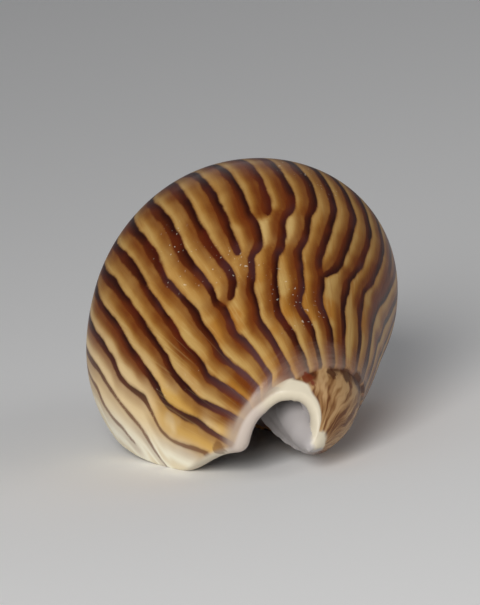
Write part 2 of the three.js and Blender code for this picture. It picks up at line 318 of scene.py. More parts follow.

# %% [markdown]
# ## The painted stripes
# On the real shell the mantle's edge lays the pigment down as the shell grows, so every stripe follows the
# growth lines, keeps about the same distance to the next one and bends where they bend. Where the whorl
# gets narrower towards the notch there is room for fewer stripes, so some end or run into a neighbour. A
# noise or wave texture can't do that. Here each stripe is a smooth line through a few places on the growth
# map, (u, degrees behind the lip), and every corner of the mesh is told how far the nearest stripe is.

# %% Stripe lines
STRIPES = {
    "short": ((0.3, -27), (0.39, -23.5), (0.405, -19), (0.44, -15.5), (0.46, -14.5), (0.482, -10)),
    "lip_line": ((0.33, -31.5), (0.4, -31), (0.45, -27), (0.5, -22), (0.53, -18.5), (0.55, -10),
        (0.556, -2)),
    "first": ((0.3, -42), (0.4, -40.7), (0.45, -38.2), (0.475, -34), (0.5, -32.7), (0.55, -31.5),
        (0.575, -26), (0.59, -21.5), (0.62, -19), (0.66, -19.5), (0.7, -21)),
    "second": ((0.3, -52), (0.4, -50.8), (0.45, -49.8), (0.48, -47), (0.5, -45.4), (0.53, -43.6),
        (0.56, -41.2), (0.585, -38.5), (0.6, -35.5), (0.62, -33.8), (0.66, -33.6), (0.7, -35),
        (0.75, -33.6), (0.79, -33)),
    "third": ((0.3, -59), (0.35, -59.8), (0.4, -60.3), (0.45, -59.4), (0.5, -57.4), (0.55, -55),
        (0.58, -53.2), (0.6, -50.8), (0.62, -48.4), (0.66, -46.4), (0.7, -45), (0.74, -47), (0.8, -50)),
    "fourth": ((0.3, -67.5), (0.35, -69.2), (0.4, -70), (0.45, -69.4), (0.5, -67.6), (0.55, -66),
        (0.58, -65), (0.6, -63.4), (0.62, -62.2), (0.66, -62), (0.685, -61), (0.7, -58.6), (0.72, -59),
        (0.75, -60.4), (0.8, -62)),
    "fifth": ((0.3, -77), (0.35, -77.6), (0.4, -78.4), (0.45, -77.8), (0.5, -76), (0.55, -76.5),
        (0.6, -76.6), (0.625, -75), (0.66, -74.6), (0.682, -74), (0.695, -71.8), (0.72, -71.8),
        (0.75, -73.6), (0.8, -75.4)),
    "sixth": ((0.3, -86.5), (0.35, -88), (0.4, -89), (0.45, -88.4), (0.5, -86.6), (0.55, -88),
        (0.58, -88.6), (0.6, -88), (0.62, -86.4), (0.64, -88), (0.67, -87), (0.7, -85), (0.73, -86.4),
        (0.77, -88.4), (0.82, -88)),
    "short_one": ((0.25, -95), (0.3, -96.5), (0.35, -97.5), (0.4, -98), (0.5, -97.5), (0.55, -98.4),
        (0.58, -99.6), (0.6, -99), (0.618, -97.4), (0.628, -95.6), (0.632, -93.8)),
    "broken_one": ((0.25, -103), (0.3, -105), (0.35, -106.4), (0.4, -107), (0.5, -107), (0.555, -106.4)),
    "seventh": ((0.25, -112), (0.3, -113.5), (0.35, -115), (0.4, -116.4), (0.45, -116.4), (0.48, -116),
        (0.5, -117.6), (0.55, -116.8), (0.566, -114.5), (0.575, -110.8), (0.6, -109.4), (0.62, -107.4),
        (0.64, -104.6), (0.66, -103.6), (0.685, -103), (0.705, -100.4), (0.72, -100), (0.75, -101.4),
        (0.78, -102.2), (0.83, -102)),
    "ends_pale": ((0.25, -121.5), (0.3, -123), (0.35, -124.2), (0.4, -125.6), (0.45, -125.2),
        (0.485, -124)),
    "eighth": ((0.25, -130), (0.3, -131.5), (0.35, -132.6), (0.4, -134.2), (0.45, -135.2), (0.48, -134),
        (0.492, -131.5), (0.51, -129.4), (0.54, -128), (0.565, -126), (0.58, -123), (0.6, -121),
        (0.62, -119.4), (0.65, -117), (0.68, -115), (0.7, -113), (0.72, -112), (0.75, -113.6),
        (0.78, -115.6), (0.83, -116.5)),
    "ninth": ((0.25, -138.5), (0.3, -140.5), (0.35, -141.6), (0.4, -144.4), (0.45, -145), (0.48, -143),
        (0.5, -140.6), (0.53, -139.4), (0.55, -138.4), (0.57, -135.4), (0.585, -133.2), (0.62, -132),
        (0.65, -131.4), (0.68, -130), (0.695, -127.6), (0.715, -125), (0.75, -127.6), (0.78, -130),
        (0.83, -130.6)),
    "tenth": ((0.25, -149), (0.35, -151), (0.4, -153), (0.45, -154), (0.48, -153), (0.5, -151.6),
        (0.53, -149.4), (0.55, -147.8), (0.58, -145), (0.6, -143.2), (0.62, -142.6), (0.65, -143.2),
        (0.68, -141.6), (0.7, -140), (0.72, -139.6), (0.75, -142), (0.78, -144), (0.83, -143.4)),
    "runs_in": ((0.25, -156), (0.35, -159.6), (0.4, -162), (0.45, -164.4), (0.5, -162), (0.55, -159),
        (0.58, -157), (0.6, -155), (0.62, -152), (0.632, -149), (0.64, -145.5)),
    "eleventh": ((0.25, -166), (0.36, -169.6), (0.4, -171.6), (0.45, -174), (0.5, -173), (0.55, -170),
        (0.58, -168), (0.6, -166), (0.62, -163), (0.64, -160.6), (0.66, -159.4), (0.69, -157),
        (0.72, -155.6), (0.76, -156.2), (0.83, -156)),
    "twelfth": ((0.25, -177), (0.4, -182), (0.45, -184), (0.5, -183.4), (0.55, -181), (0.58, -179.4),
        (0.6, -177.6), (0.62, -175), (0.64, -173), (0.67, -172), (0.7, -170.6), (0.73, -171.6),
        (0.78, -174.4), (0.83, -174)),
    "thirteenth": ((0.25, -187), (0.4, -192), (0.5, -193), (0.55, -191.4), (0.58, -190), (0.6, -188.2),
        (0.63, -186.6), (0.66, -186), (0.69, -184.4), (0.72, -185), (0.75, -186.6), (0.83, -188)),
}
print(len(STRIPES), "stripes read off the photograph")

# %% [markdown]
# ## Stripes on older growth
# The lines above cover the side that the photograph shows. Older growth could be left plain or drawn on
# too, but nobody has seen it. So it carries on with the same lines, shifted back by the spacing at which
# the last one meets the third, and the pattern goes on without a break. The first few belong to the lip
# alone.

# %% Lines on the whole shell
FIRST_REPEATED = "third"
REPEAT_EVERY = 140  # degrees
REPEATS = 7
KNOT_SOFTNESS = 9  # steps of the smoothing window
fine_u = np.linspace(0, 1, 501)


def soft_line(points):
    """Degrees behind the lip along u: straight between the places, then the mean over a short window."""
    u, degrees = np.array(points).T
    line = np.interp(fine_u, u, degrees)
    padded = np.pad(line, KNOT_SOFTNESS // 2, mode="edge")
    return np.convolve(padded, np.full(KNOT_SOFTNESS, 1 / KNOT_SOFTNESS), mode="valid")


drawn_lines = [(soft_line(points), points[-1][0]) for points in STRIPES.values()]
repeated_lines = drawn_lines[list(STRIPES).index(FIRST_REPEATED):]
stripe_lines = drawn_lines + [
    (line - again * REPEAT_EVERY, end) for again in range(1, REPEATS + 1) for line, end in repeated_lines
]
print(len(stripe_lines), "stripes on the whole shell")

# %% [markdown]
# ## Distance to the stripes
# A real stripe has a dark core and, on the side of the lip, a brown glow. The pattern could be drawn on an
# image and wrapped round. A distance is better: it stays sharp at any size, and the finish can still
# choose how wide and how soft core and glow are. Where the stripes crowd, on small whorls and towards the
# pillar, all of it shrinks with the room they have, so the distances are given as they would be at the
# widest place.

# %% Distances
LINE_LENGTH = 46.0  # millimetres along a growth line of the last whorl
STRIPE_HALF_WIDTH = 0.43
THIN_HALF_WIDTH = 0.24
STRIPES_THIN_OVER = (-44, -22)  # degrees behind the lip
CORE_SET_BACK = 0.06  # from the line away from the lip
GLOW_SET_FORWARD = 0.55  # from the line towards the lip
LEAST_RADIUS = 1.0
LEAST_ROOM = 0.2
ENDS_BEFORE = 0.7  # a line that goes further in u runs on into the notch and has no end of its own
FAR_OFF = 9.0  # millimetres, before any stripe has been looked at


def stripe_distances(turns, u):
    """For each corner: how far it lies outside the nearest stripe's dark core, and how far it is from the
    middle of the nearest glow. Both are across the stripe: the step in degrees times the millimetres in a
    degree, times the cosine of the stripe's slant. Past a stripe's end the way round the end counts. The room
    for a stripe is the whorl's size times the square root of its radius as a share of the widest one."""
    degrees = turns * 360
    size = growth(np.radians(degrees))
    radius = np.interp(np.clip(u / RIDGE_AT, 0, 1), section_run, section_line[:, 0])
    mm_per_degree = np.radians(np.maximum(radius * size, LEAST_RADIUS))
    mm_per_u = LINE_LENGTH * size
    room = size * np.clip(radius / radius.max(), LEAST_ROOM, 1) ** 0.5
    half_width = mix(STRIPE_HALF_WIDTH, THIN_HALF_WIDTH, rise(degrees, *STRIPES_THIN_OVER)) * room
    to_core = np.full(len(u), FAR_OFF)
    to_glow = np.full(len(u), FAR_OFF)
    for line, last_u in stripe_lines:
        slant = np.interp(u, fine_u, np.gradient(line, fine_u)) * mm_per_degree / mm_per_u
        across = (degrees - np.interp(u, fine_u, line)) * mm_per_degree / np.hypot(1, slant)
        beyond_end = np.maximum(u - last_u, 0) * mm_per_u * (last_u < ENDS_BEFORE)
        to_core = np.minimum(to_core, np.hypot(across + CORE_SET_BACK * room, beyond_end) - half_width)
        to_glow = np.minimum(to_glow, np.hypot(across - GLOW_SET_FORWARD * room, beyond_end))
    return np.stack([to_core, to_glow], -1) / room[:, None]


probe = stripe_distances(np.full(1000, -0.25), np.linspace(0.3, 0.8, 1000))
print("share of dark core along one growth line", (probe[:, 0] < 0).mean().round(2))

# %% [markdown]
# ## Turning rings into meshes
# A ring is a closed loop of points, so a stack of rings is a grid whose last column meets the first.
# Blender can bridge edge loops one pair at a time. The whole grid is numbered at once here, which is
# quicker and leaves each corner's growth angle and u at hand: the colours are painted by them later. Every
# square of the grid is cut along its shorter diagonal, because the rings are sheared near the notch.

# %% Mesh helpers
def cut_squares(points, a, b, c, d):
    """Two triangles for each square a b c d, along the shorter of its two diagonals."""
    along_ac = ((points[a] - points[c]) ** 2).sum(-1) < ((points[b] - points[d]) ** 2).sum(-1)
    first = np.where(along_ac[:, None], np.c_[a, c, b], np.c_[a, d, b])
    second = np.where(along_ac[:, None], np.c_[a, d, c], np.c_[b, d, c])
    return np.vstack([first, second])


def stack_faces(points, rows, columns):
    """Faces between neighbouring rings, with the last column closed on the first."""
    here = (np.arange(rows - 1)[:, None] * columns + np.arange(columns)[None, :]).ravel()
    next_column = (np.arange(columns) + 1) % columns
    ahead = (np.arange(rows - 1)[:, None] * columns + next_column[None, :]).ravel()
    return cut_squares(points, here, ahead, ahead + columns, here + columns)


def strip_cap(points, first, columns, at_end):
    """A strip of squares across a ring that has as many inner as outer points."""
    i = np.arange(columns // 2 - 1)
    a, b = first + i, first + i + 1
    c, d = first + columns - 2 - i, first + columns - 1 - i
    return cut_squares(points, a, b, c, d) if at_end else cut_squares(points, a, d, c, b)


def new_piece(name, points, faces, growth_map, finish_map):
    """A mesh from points and triangles. Its maps hold, at each corner, (turns, u), (inside, how far behind
    the edge) and the two distances to the stripes."""
    mesh = bpy.data.meshes.new(name)
    mesh.from_pydata(points.tolist(), [], faces.tolist())
    stripes_map = stripe_distances(*growth_map.T)
    for label, values in (("growth", growth_map), ("finish", finish_map), ("stripes", stripes_map)):
        layer = mesh.uv_layers.new(name=label)
        layer.data.foreach_set("uv", values.reshape(-1, 2)[faces.ravel()].astype(np.float32).ravel())
    piece = bpy.data.objects.new(name, mesh)
    bpy.context.scene.collection.objects.link(piece)
    return piece


# %% [markdown]
# ## The open last whorl
# The last whorl is open from the hollow's end wall to the lip, and its edge is round and glazed. A Bevel
# would round it by one width everywhere. Here the rim is half an ellipse swept along the edge, as wide as
# the wall is at each place.

# %% The last whorl
LAST_RUN_FROM = np.radians(-250)
ROW_STEP = np.radians(1.5)
FINE_FROM = np.radians(-50)  # the thin lines near the lip need closer rings
FINE_ROWS = 60
RIM_STEPS = 8
RIM_REACH = 0.75
RIM_ROOM = 0.12  # the rim's reach as a share of its distance from the axis, at most
MM_PER_DEGREE_AT_LIP = 0.2
last_u = np.r_[
    np.linspace(0, 0.5, 64, endpoint=False),
    np.linspace(0.5, 0.785, 44, endpoint=False),
    np.linspace(0.785, RIDGE_AT, 44, endpoint=False),
    np.linspace(RIDGE_AT, 0.88, 14, endpoint=False),
    np.linspace(0.88, 1, 40),
]


def rounded_rim(outer, inner, inward, from_axis):
    """Outer and inner lines ahead of the edge: middle of the wall, plus cos(bulge) across it, plus sin(bulge)
    times the reach ahead. At the crest both lines meet, so the last ring closes to a hair's width."""
    ahead = np.cross(inward, np.gradient(outer, axis=0))
    ahead /= np.linalg.norm(ahead, axis=-1, keepdims=True)
    middle = (outer + inner) / 2
    across = (outer - inner) / 2
    reach = np.minimum(np.minimum(np.linalg.norm(across, axis=-1), RIM_REACH), RIM_ROOM * from_axis)
    bulge = np.linspace(0, np.pi / 2, RIM_STEPS + 1)[1:, None, None]
    rim_middle = middle + ahead * reach[:, None] * np.sin(bulge)
    return rim_middle + across * np.cos(bulge), rim_middle - across * np.cos(bulge)


def last_whorl():
    """Rings from the hollow's end to the lip, then the rim. Inside is 0 on the outer line, 1 on the inner
    one and in between over the rim."""
    starts = np.r_[np.arange(LAST_RUN_FROM, FINE_FROM - 1e-6, ROW_STEP), np.linspace(FINE_FROM, 0, FINE_ROWS)]
    tuck = np.where(np.arange(len(starts)) == 0, TUCK, 0.0)
    angle, outer, inner, inward, from_axis = ring_lines(starts, last_u, tuck)
    rim_outer, rim_inner = rounded_rim(outer[-1], inner[-1], inward[-1], from_axis[-1])
    outer = np.concatenate([outer, rim_outer])
    inner = np.concatenate([inner, rim_inner])
    rows, half = outer.shape[:2]
    turns = np.concatenate([angle, np.broadcast_to(angle[-1], (RIM_STEPS, half))]) / TURN
    points = np.concatenate([outer, inner[:, ::-1]], axis=1).reshape(-1, 3)
    u = np.broadcast_to(last_u, (rows, half))
    growth_map = np.stack([np.hstack([turns, turns[:, ::-1]]), np.hstack([u, u[:, ::-1]])], -1)
    around_rim = np.clip(np.arange(rows) - (rows - RIM_STEPS - 1), 0, RIM_STEPS) / RIM_STEPS
    inside = np.broadcast_to(0.5 * around_rim[:, None], (rows, half))
    behind_edge = np.degrees(-np.r_[starts, np.zeros(RIM_STEPS)])[:, None] * MM_PER_DEGREE_AT_LIP
    columns = 2 * half
    from_edge = np.broadcast_to(behind_edge, (rows, columns))
    finish_map = np.stack([np.hstack([inside, 1 - inside]), from_edge], -1)
    faces = np.vstack([
        stack_faces(points, rows, columns),
        strip_cap(points, 0, columns, False),
        strip_cap(points, (rows - 1) * columns, columns, True),
    ])
    return new_piece("last_whorl", points, faces, growth_map.reshape(-1, 2), finish_map)


whorl = last_whorl()
print("last whorl", len(whorl.data.vertices), "points")

# %% [markdown]
# ## The older whorls
# They show as the spire, and inside the aperture as the wall between it and the hollow. They could be
# hollow too, as the real ones are, but nobody can look in so far. They are solid, so each ring needs only
# its outer line and three points beside the axis.

# %% Older whorls
FAR_BEHIND = 50.0  # millimetres, for all that isn't in the last whorl
BESIDE_AXIS = 3  # points


def old_run(name, start, end, row_step, u):
    """Rings of the outer line and three points beside the axis, closed at both ends by a fan from the middle
    one of the three."""
    rows = int(round((end - start) / row_step)) + 1
    starts = np.linspace(start, end, rows)
    tuck = np.where(np.arange(rows) == 0, TUCK, 0.0)
    angle, outer, inner, _, _ = ring_lines(starts, u, tuck)
    beside = [-1, len(u) // 2, 0]
    points = np.concatenate([outer, inner[:, beside]], axis=1).reshape(-1, 3)
    columns = len(u) + BESIDE_AXIS
    core_angle = angle[:, beside]
    growth_map = np.stack(
        [np.hstack([angle, core_angle]) / TURN, np.broadcast_to(np.r_[u, 1, 0.5, 0], (rows, columns))], -1
    )
    finish_map = np.broadcast_to((0.0, FAR_BEHIND), (rows, columns, 2))
    i = np.r_[np.arange(len(u) - 1), len(u) - 1, columns - 1]
    j = np.r_[np.arange(1, len(u)), len(u), 0]
    middle = len(u) + 1
    first = np.c_[np.full(len(i), middle), i, j]
    last = (rows - 1) * columns + np.c_[np.full(len(i), middle), j, i]
    faces = np.vstack([stack_faces(points, rows, columns), first, last])
    return new_piece(name, points, faces, growth_map.reshape(-1, 2), finish_map)


PENULTIMATE_RUN = (np.radians(-554), LAST_RUN_FROM + np.radians(3), np.radians(3.0))  # start, end, row step
EARLY_RUN = np.radians([-854, -550, 4])
FIRST_RUN = np.radians([-1154, -850, 6])
penultimate_u = np.r_[
    np.linspace(0, 0.5, 40, endpoint=False),
    np.linspace(0.5, 0.96, 92, endpoint=False),
    np.linspace(0.96, 1, 5),
]
spire_u = np.r_[np.linspace(0, 0.5, 36, endpoint=False), np.linspace(0.5, 1, 6)]
old_whorls = [
    old_run("penultimate_whorl", *PENULTIMATE_RUN, penultimate_u),
    old_run("early_whorls", *EARLY_RUN, spire_u),
    old_run("first_whorls", *FIRST_RUN, spire_u),
]
print("older whorls", [len(run.data.vertices) for run in old_whorls], "points")

# %% [markdown]
# ## Columella and protoconch
# The columella is the pillar the whorls wind round. Its front end is the rounded tip that closes the
# fasciole. The protoconch is the smooth dome that the snail hatched with. Both are turned shapes, which
# Blender's Spin could make, but the pillar leans off the axis towards the tip. So each is a profile turned
# about a line that may lean.

# %% Turned pieces
def turned_piece(name, profile, centre_of, segments, turns, u):
    """A profile of (radius, distance from the apex) turned about a line that may lean, closed at both poles:
    each loop is the line's place plus the radius times (cos, 0, sin) of the way round."""
    radius, down = np.array(profile).T
    around = np.linspace(0, TURN, segments, endpoint=False)
    centre = centre_of(-down)
    loops = centre[1:-1, None, :] + radius[1:-1, None, None] * np.stack(
        [np.cos(around), 0 * around, np.sin(around)], -1
    )
    points = np.concatenate([centre[:1], loops.reshape(-1, 3), centre[-1:]])
    rows = len(loops)
    body = stack_faces(points[1:-1], rows, segments) + 1
    i = np.arange(segments)
    j = (i + 1) % segments
    top = np.c_[np.zeros(segments, int), 1 + i, 1 + j]
    foot = 1 + (rows - 1) * segments
    bottom = np.c_[np.full(segments, len(points) - 1), foot + j, foot + i]
    faces = np.vstack([body, top, bottom])
    growth_map = np.full((len(points), 2), (turns, u))
    finish_map = np.full((len(points), 2), (0.0, FAR_BEHIND))
    return new_piece(name, points, faces, growth_map, finish_map)


# %% Columella
PILLAR = (
    (0, 2.7), (0.4, 4), (0.8, 20), (1.3, 29), (1.8, 35), (1.5, 38), (0.95, 40.3), (0.65, 41.3), (0, 41.7)
)  # radius and distance from the apex
PILLAR_GROWTH = (-1.0, 0.98)  # turns and u that it is coloured by

pillar_profile = smooth_curve(np.array(PILLAR), 90)
pillar_profile[:, 0] = np.maximum(pillar_profile[:, 0], 0)
columella = turned_piece("columella", pillar_profile, pillar_centre, 48, *PILLAR_GROWTH)
print("columella ends", pillar_profile[-1, 1].round(1), "mm down the axis")

# %% Protoconch
DOME_RADIUS = 1.9
DOME_CENTRE = 2.7
DOME_GROWTH = (-3.5, 0.02)


def on_the_axis(y):
    """Places on the shell's axis at the heights y."""
    return np.stack([0 * y, y, 0 * y], -1)


bow = np.linspace(0, np.pi, 40)
dome_profile = np.c_[DOME_RADIUS * np.sin(bow), DOME_CENTRE - DOME_RADIUS * np.cos(bow)]
protoconch = turned_piece("protoconch", dome_profile, on_the_axis, 64, *DOME_GROWTH)
print("protoconch", 2 * DOME_RADIUS, "mm across")

# %% [markdown]
# ## One skin
# A union of the closed runs gives the one solid that a shell is, with crisp sutures where a whorl meets
# the one before. The Boolean modifier could stay live, but its result is kept as the mesh, so that its
# points can be moved and its creases marked afterwards.

# %% Faces outward
def volume_of(piece):
    """Signed volume: the sum of a . (b x c) / 6 over the triangles, positive when the faces point outward."""
    mesh = piece.data
    mesh.calc_loop_triangles()
    places = np.empty(len(mesh.vertices) * 3)
    mesh.vertices.foreach_get("co", places)
    triangles = np.empty(len(mesh.loop_triangles) * 3, np.int32)
    mesh.loop_triangles.foreach_get("vertices", triangles)
    a, b, c = places.reshape(-1, 3)[triangles.reshape(-1, 3)].transpose(1, 0, 2)
    return (a * np.cross(b, c)).sum() / 6


def flip_if_inside_out(piece):
    """Turns a closed mesh whose signed volume is negative."""
    if volume_of(piece) < 0:
        piece.data.flip_normals()


parts = [whorl, *old_whorls, columella, protoconch]
for part in parts:
    flip_if_inside_out(part)
    print(part.name, "volume", round(volume_of(part), 2))

# %% Union
others = bpy.data.collections.new("to_join")
for part in parts[1:]:
    others.objects.link(part)
join = whorl.modifiers.new("union", "BOOLEAN")
join.operation = "UNION"
join.operand_type = "COLLECTION"
join.collection = others
join.solver = "MANIFOLD"
whole = bpy.data.meshes.new_from_object(whorl.evaluated_get(bpy.context.evaluated_depsgraph_get()))
for part in parts:
    bpy.data.objects.remove(part)
print("union", len(whole.vertices), "points", len(whole.polygons), "faces")

# %% [markdown]
# ## Lying on its aperture
# A volute on a table lies on its aperture. The shell is turned a little about its axis, tipped nose down
# and set on the ground where the CAD solid stands. The object could be turned instead, but then a pattern
# in the object's own coordinates would turn with it, so the points themselves are moved. Those that would
# be below the ground are lifted to it, which leaves the small flats it rests on.

# %% Rest pose
REST_ROLL = np.radians(6.5)
REST_PITCH = np.radians(18.3)
TOUCH_TRIM = 0.3
MM = 0.001

roll = np.array(Matrix.Rotation(REST_ROLL, 3, "Y"))
pitch = np.array(Matrix.Rotation(REST_PITCH, 3, "X"))
turn_to_rest = pitch @ roll
grown = np.empty(len(whole.vertices) * 3)
whole.vertices.foreach_get("co", grown)
grown = grown.reshape(-1, 3)
lying = grown @ turn_to_rest.T
low, high = lying.min(0), lying.max(0)
shift = np.array([-(low[0] + high[0]) / 2, -(low[1] + high[1]) / 2, -low[2] - TOUCH_TRIM])
resting = (lying + shift) * MM
resting[:, 2] = np.maximum(resting[:, 2], 0)
print("shell box", resting.min(0).round(5), resting.max(0).round(5))

# %% [markdown]
# ## Worn tip
# The tip of a shell is rubbed round, so the step where the notch's edge runs out on the end of the pillar
# doesn't show. A sculptor's smooth brush would do it by hand. Here each point near the tip moves step by
# step to the middle of its neighbours, most at the very end and not at all a little way back.

# %% Rub the tip
WORN_FROM, WORN_FULLY = 39.2, 40.8  # millimetres from the apex, along the axis
PASSES = 60
SHARE_PER_PASS = 0.5

worn = rise(-grown[:, 1], WORN_FROM, WORN_FULLY)[:, None]
ends = np.empty(len(whole.edges) * 2, np.int32)
whole.edges.foreach_get("vertices", ends)
ends = ends.reshape(-1, 2)
ends = ends[worn[ends].max((1, 2)) > 0]
from_end = np.r_[ends[:, 0], ends[:, 1]]
to_end = np.r_[ends[:, 1], ends[:, 0]]
neighbours = np.maximum(np.bincount(from_end, minlength=len(resting)), 1)[:, None]
before = resting.copy()
for _ in range(PASSES):
    total = np.stack([np.bincount(from_end, resting[to_end, axis], len(resting)) for axis in range(3)], -1)
    resting += SHARE_PER_PASS * worn * (total / neighbours - resting)
resting[:, 2] = np.maximum(resting[:, 2], 0)
print("the tip moved by at most", round(np.linalg.norm(resting - before, axis=1).max() / MM, 2), "mm")

# %% [markdown]
# ## The shell as one object
# Glazed shell is smooth to the eye, apart from the sutures, where one whorl meets the next in a crease. A
# finer mesh could show both. Smooth shading with the creases marked sharp shows them with fewer triangles.

# %% Shell object
SHARP_FROM = np.radians(38)

whole.vertices.foreach_set("co", resting.ravel())
whole.update()
whole.shade_smooth()
whole.set_sharp_from_angle(angle=SHARP_FROM)
shell = bpy.data.objects.new("shell", whole)
bpy.context.scene.collection.objects.link(shell)
print("shell volume in mm3", round(volume_of(shell) / MM**3, 1))

# %% [markdown]
# ## Tools for the finish
# The shell's colours are layer on layer of pigment and glaze. They could be a picture wrapped round it,
# but a finish of small nodes is sharp from near and far. A few helpers make one node each and hand back
# what comes out of it, so the steps after this can be read as sums.

# %% Number nodes
finish = bpy.data.materials.new("shell_porcelain")
finish.use_nodes = True
tree = finish.node_tree
surface = tree.nodes["Principled BSDF"]
print("the finish starts with", len(tree.nodes), "nodes")


def feed(socket, value):
    """Links a node's output to a socket, or sets the socket to a constant."""
    if isinstance(value, bpy.types.NodeSocket):
        tree.links.new(value, socket)
    else:
        socket.default_value = value


def work(operation, *values):
    """One arithmetic step."""
    node = tree.nodes.new("ShaderNodeMath")
    node.operation = operation
    for socket, value in zip(node.inputs, values):
        feed(socket, value)
    return node.outputs[0]


def times_plus(value, factor, offset):
    """The value times a factor, plus an offset."""
    return work("MULTIPLY_ADD", value, factor, offset)


def product(*values):
    """All the values multiplied together."""
    result = values[0]
    for value in values[1:]:
        result = work("MULTIPLY", result, value)
    return result


def remainder(share):
    """What a share leaves of the whole: one minus it."""
    return work("SUBTRACT", 1.0, share)


# %% Soft steps
def ease(value, start, end):
    """Smooth step: 0 at start, 1 at end."""
    node = tree.nodes.new("ShaderNodeMapRange")
    node.interpolation_type = "SMOOTHSTEP"
    for socket, number in zip(node.inputs, (value, start, end, 0.0, 1.0)):
        feed(socket, number)
    return node.outputs[0]


def window(value, start, full, fades, end):
    """0 outside start..end, 1 between full and fades: a rising smooth step times what a second one leaves."""
    return product(ease(value, start, full), remainder(ease(value, fades, end)))


# %% Colour nodes
def paint(red, green, blue):
    """Linear colour from a screen colour of 0 to 255: ((c + 0.055) / 1.055) ^ 2.4 above the toe."""
    c = np.array([red, green, blue]) / 255
    linear = np.where(c <= 0.04045, c / 12.92, ((c + 0.055) / 1.055) ** 2.4)
    return (*(float(v) for v in linear), 1.0)


def cover(share, below, above):
    """Colour above laid over colour below, by share."""
    node = tree.nodes.new("ShaderNodeMix")
    node.data_type = "RGBA"
    feed(node.inputs[0], share)
    feed(node.inputs[6], below)
    feed(node.inputs[7], above)
    return node.outputs[2]


# %% [markdown]
# ## Maps to paint by
# The mantle paints while it builds, so pigment follows the growth lines, and only wear and stains don't.
# The finish has both kinds of place to read: the maps that every corner of the mesh carries, and the
# object's own coordinates. Generated coordinates would do for neither, as they stretch with the shell's
# box.

# %% Maps
DEGREES_PER_TURN = 360.0
MM_PER_DEGREE = 0.22  # about, where the last whorl is widest


def corner_map(name):
    """The two values of one of the mesh's maps."""
    source = tree.nodes.new("ShaderNodeUVMap")
    source.uv_map = name
    split = tree.nodes.new("ShaderNodeSeparateXYZ")
    tree.links.new(source.outputs[0], split.inputs[0])
    return split.outputs[0], split.outputs[1]


turns, along = corner_map("growth")
inside, from_edge_mm = corner_map("finish")
off_core, off_glow = corner_map("stripes")
place = tree.nodes.new("ShaderNodeTexCoord").outputs["Object"]
behind = work("MULTIPLY", turns, DEGREES_PER_TURN)  # degrees behind the lip, negative
across_mm = work("MULTIPLY", behind, MM_PER_DEGREE)
along_mm = work("MULTIPLY", along, LINE_LENGTH)
print("maps on the mesh:", [layer.name for layer in whole.uv_layers])

# %% Noise


def cloud(where, size, detail=2.0, rough=0.5):
    """Smooth noise around 0.5 with features of about one unit divided by size."""
    node = tree.nodes.new("ShaderNodeTexNoise")
    feed(node.inputs["Vector"], where)
    node.inputs["Scale"].default_value = size
    node.inputs["Detail"].default_value = detail
    node.inputs["Roughness"].default_value = rough
    return node.outputs[0]


def flat_cloud(x, y, detail=2.0, rough=0.5):
    """Smooth noise at a place that two numbers give."""
    node = tree.nodes.new("ShaderNodeCombineXYZ")
    feed(node.inputs[0], x)
    feed(node.inputs[1], y)
    return cloud(node.outputs[0], 1.0, detail, rough)


def growth_cloud(per_mm_across, per_mm_along, detail=2.0, rough=0.5):
    """Smooth noise laid out on the growth: so many features in a millimetre across the growth lines and so
    many along them. Many across and few along make streaks that follow the growth lines."""
    x = work("MULTIPLY", across_mm, per_mm_across)
    return flat_cloud(x, work("MULTIPLY", along_mm, per_mm_along), detail, rough)


print("noise in space is counted per metre, noise on the growth per millimetre")

# %% [markdown]
# ## Ground colour
# Under the stripes the shell is tan, warmer and more golden in patches, and streaked along the growth
# lines, because each day's growth took the pigment a little differently. Near the lip it turns to cream
# and white. A painter would mottle it by hand. Layers of colour, each let through by its own noise or
# window on the growth map, do the same and can be tuned one by one.

# %% Tan, gold and streaks
TAN = paint(186, 149, 86)
GOLD = paint(166, 108, 34)
PALE = paint(210, 180, 118)
RUST = paint(128, 68, 22)
PALE_STREAKS = 0.28
RUST_STREAKS = 0.2
BACK_RUST = 0.25

patches = cloud(place, 260.0, 2.0)
streaks = growth_cloud(3.0, 0.3)
gold_zone = ease(along, 0.56, 0.68)
gold_patches = product(ease(patches, 0.42, 0.62), times_plus(gold_zone, 0.5, 0.35))
ground = cover(gold_patches, TAN, GOLD)
ground = cover(product(ease(streaks, 0.5, 0.74), PALE_STREAKS), ground, PALE)
ground = cover(product(ease(streaks, 0.46, 0.26), RUST_STREAKS), ground, RUST)
back_of_shell = ease(behind, -120.0, -210.0)
ground = cover(product(back_of_shell, BACK_RUST), ground, RUST)
print("ground: tan", [round(v, 3) for v in TAN[:3]])

# %% Pale scar, yellow patch and the lip's white
CREAM = paint(240, 216, 170)
WHITE = paint(250, 244, 222)
YELLOW = paint(204, 156, 66)
SCAR_ALONG = (0.485, 0.505, 0.555, 0.575)
SCAR_BEHIND = (-139.0, -134.0, -116.0, -108.0)
YELLOW_ALONG = (0.54, 0.62, 0.77, 0.83)
YELLOW_BEHIND = (-54.0, -38.0, -21.0, -11.0)
CREAM_OVER = (-54.0, -14.0)
WHITE_OVER = (-22.0, -5.0)

scar = product(window(along, *SCAR_ALONG), window(behind, *SCAR_BEHIND))
ground = cover(product(scar, 0.6), ground, PALE)
to_cream = ease(times_plus(patches, 14.0, behind), *CREAM_OVER)
ground = cover(product(to_cream, 0.8), ground, CREAM)
yellow_patch = product(window(behind, *YELLOW_BEHIND), window(along, *YELLOW_ALONG))
ground = cover(product(yellow_patch, ease(patches, 0.3, 0.5), 0.85), ground, YELLOW)
to_white = ease(times_plus(patches, 8.0, behind), *WHITE_OVER)
ground = cover(to_white, ground, WHITE)
print("the lip turns white over the last", -WHITE_OVER[0], "degrees")

